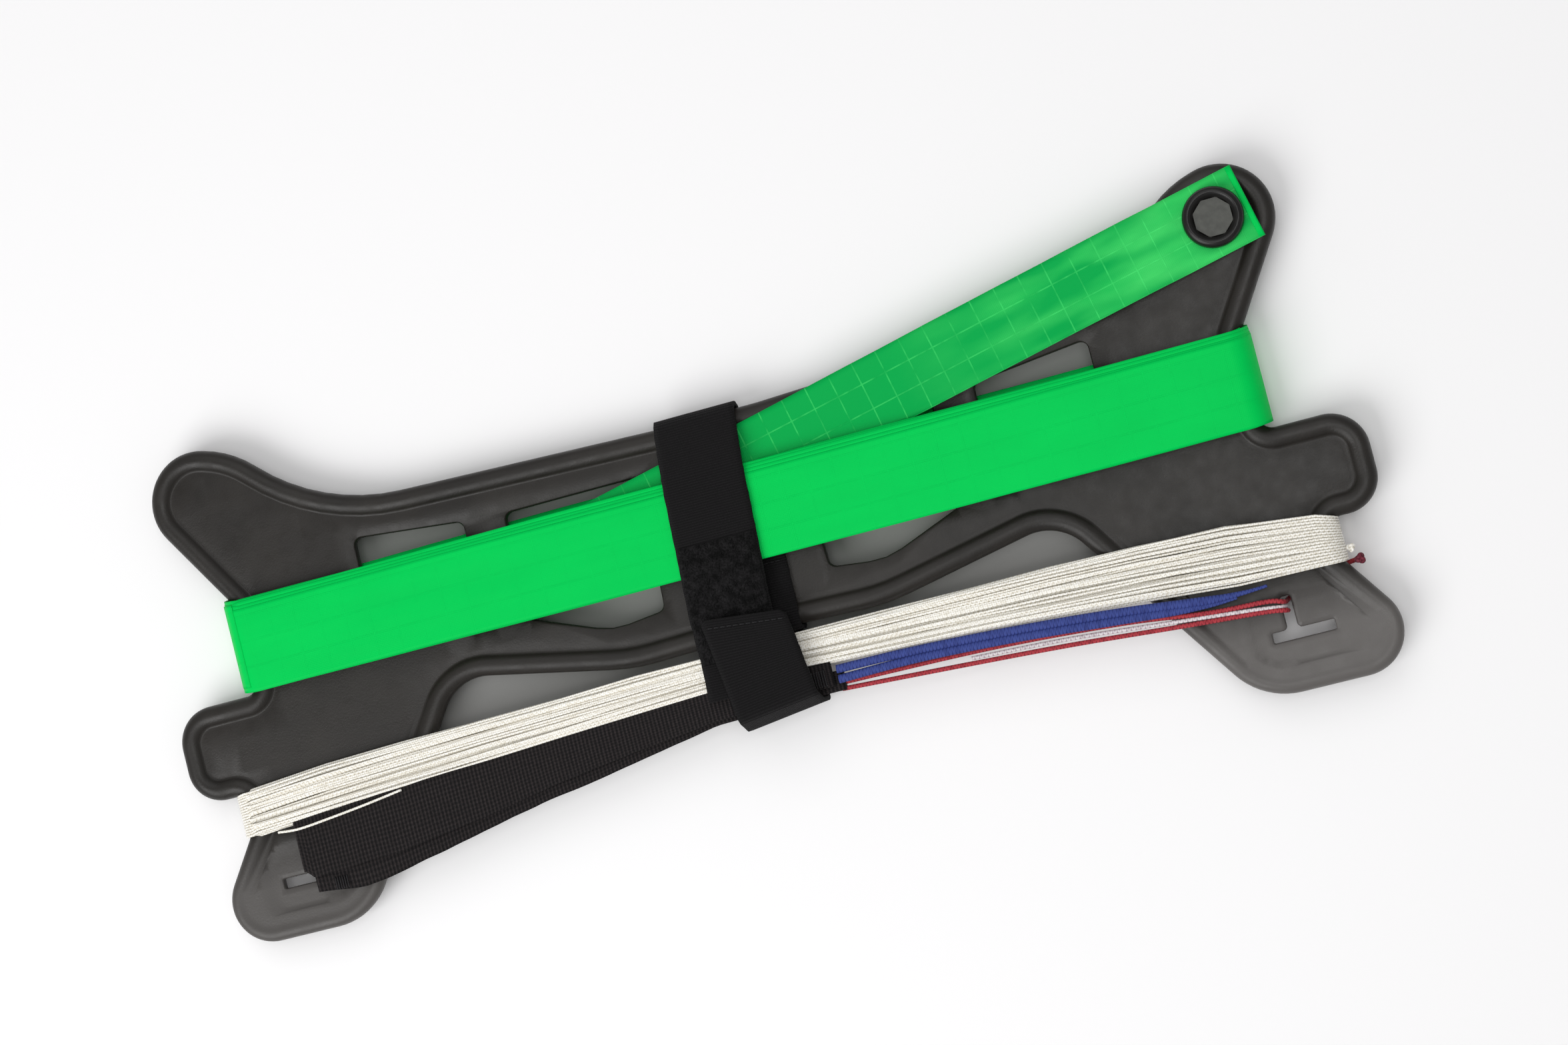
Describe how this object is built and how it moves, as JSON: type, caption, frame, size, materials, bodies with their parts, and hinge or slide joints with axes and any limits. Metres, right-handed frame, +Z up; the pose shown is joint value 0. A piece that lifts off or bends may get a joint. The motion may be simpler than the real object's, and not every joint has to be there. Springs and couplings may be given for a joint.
{
  "type": "kite line winder",
  "caption": "Moulded plastic kite winder holding a wound ribbon tail, wound flying lines and wrist straps, with a snap socket at the tail's free end and a hook-and-loop closure strap.",
  "frame": {"origin": "middle of the outline, on the surface that the winder lies on", "axes": "+X along the winder, towards the snap's end; +Y from the feet towards the horns; +Z up, out of the front face"},
  "size_m": [0.2464, 0.1014, 0.0139],
  "materials": {
    "moulded_plastic": "satin, fine moulded texture",
    "tail_ribbon": "wound layers of coated ripstop ribbon",
    "tail_single_layer": "one translucent layer of ripstop ribbon",
    "snap_plastic": "black acetal",
    "line_braid": "fine off-white braid",
    "webbing": "ribbed woven webbing",
    "blue_sleeve": "woven sleeve",
    "red_sleeve": "woven sleeve",
    "closure_webbing": "brushed woven strap",
    "loop_pile": "napped loop pile",
    "hook_plastic": "moulded hooks",
    "thread": "sewing thread"
  },
  "bodies": {
    "winder": {"winder_plate": "moulded_plastic", "tail_wound": "tail_ribbon", "tail_lead_in": "tail_single_layer", "flying_line_left_wound": "line_braid", "flying_line_right_wound": "line_braid", "flying_line_tail_strand": "line_braid", "flying_line_knot": "line_braid", "wrist_strap_left": "webbing", "wrist_strap_right": "webbing", "wrist_strap_left_bartack": "thread", "wrist_strap_right_bartack": "thread", "leader_blue_upper": "blue_sleeve", "leader_blue_lower": "blue_sleeve", "leader_red_upper": "red_sleeve", "leader_red_lower": "red_sleeve", "leader_red_knot": "red_sleeve", "closure_strap": "closure_webbing", "closure_strap_anchor": "closure_webbing", "closure_strap_stitching": "thread", "strap_loop_patch": "loop_pile"},
    "tail_end": {"tail_end_flap": "tail_single_layer", "tail_end_hem": "tail_single_layer", "snap_socket": "snap_plastic", "snap_cap": "snap_plastic"},
    "strap_tab": {"strap_hook_tab": "closure_webbing", "strap_hook_patch": "hook_plastic", "strap_tab_stitching": "thread"}
  },
  "joints": [
    {"name": "tail_end_lift", "type": "hinge", "parent": "winder", "child": "tail_end", "pos_m": [0.0448, 0.0272, 0.0085], "axis": [0.213, -0.977, 0], "range_deg": [0, 100]},
    {"name": "strap_tab_peel", "type": "hinge", "parent": "winder", "child": "strap_tab", "pos_m": [0.00194, -0.03103, 0.0058], "axis": [0.9914, 0.1305, 0], "range_deg": [0, 120]}
  ]
}
